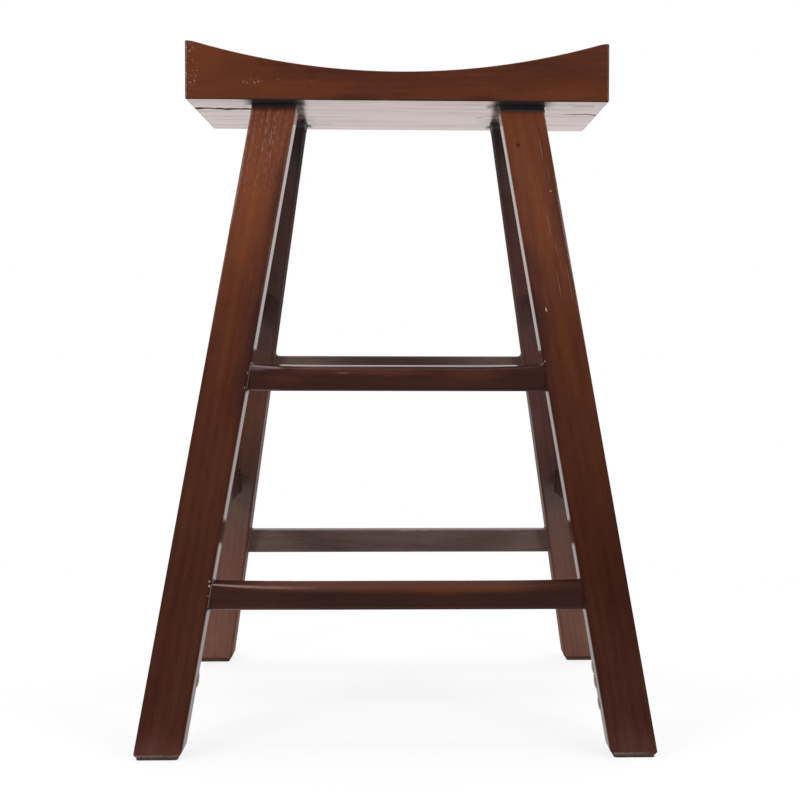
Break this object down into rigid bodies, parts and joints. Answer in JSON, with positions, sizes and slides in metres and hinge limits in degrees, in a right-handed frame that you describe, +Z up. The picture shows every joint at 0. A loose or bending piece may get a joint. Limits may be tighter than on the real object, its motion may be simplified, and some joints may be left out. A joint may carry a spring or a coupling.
{
  "type": "bar stool",
  "caption": "Backless wooden bar stool with a dished saddle seat on splayed square legs, tied by staggered rails that serve as footrests.",
  "frame": {"origin": "on the floor, under the middle of the seat", "axes": "+Z up, +X towards the right as seen from the front, the front is -Y"},
  "size_m": [0.5266, 0.5196, 0.737],
  "materials": {
    "seat_wood": "glossy dark reddish-brown lacquer over open-grained hardwood",
    "leg_wood": "glossy dark reddish-brown lacquer, worn a little at the edges",
    "rail_wood": "glossy dark brown lacquer",
    "foot_pad": "matte near-black pad"
  },
  "bodies": {
    "root": {"seat_front_board": "seat_wood", "seat_rear_board": "seat_wood", "leg_front_left": "leg_wood", "leg_front_right": "leg_wood", "leg_rear_left": "leg_wood", "leg_rear_right": "leg_wood", "rail_front_lower": "rail_wood", "rail_front_upper": "rail_wood", "rail_rear_lower": "rail_wood", "rail_rear_upper": "rail_wood", "rail_left_lower": "rail_wood", "rail_left_upper": "rail_wood", "rail_right_lower": "rail_wood", "rail_right_upper": "rail_wood", "foot_pad_front_left": "foot_pad", "foot_pad_front_right": "foot_pad", "foot_pad_rear_left": "foot_pad", "foot_pad_rear_right": "foot_pad"}
  },
  "joints": []
}
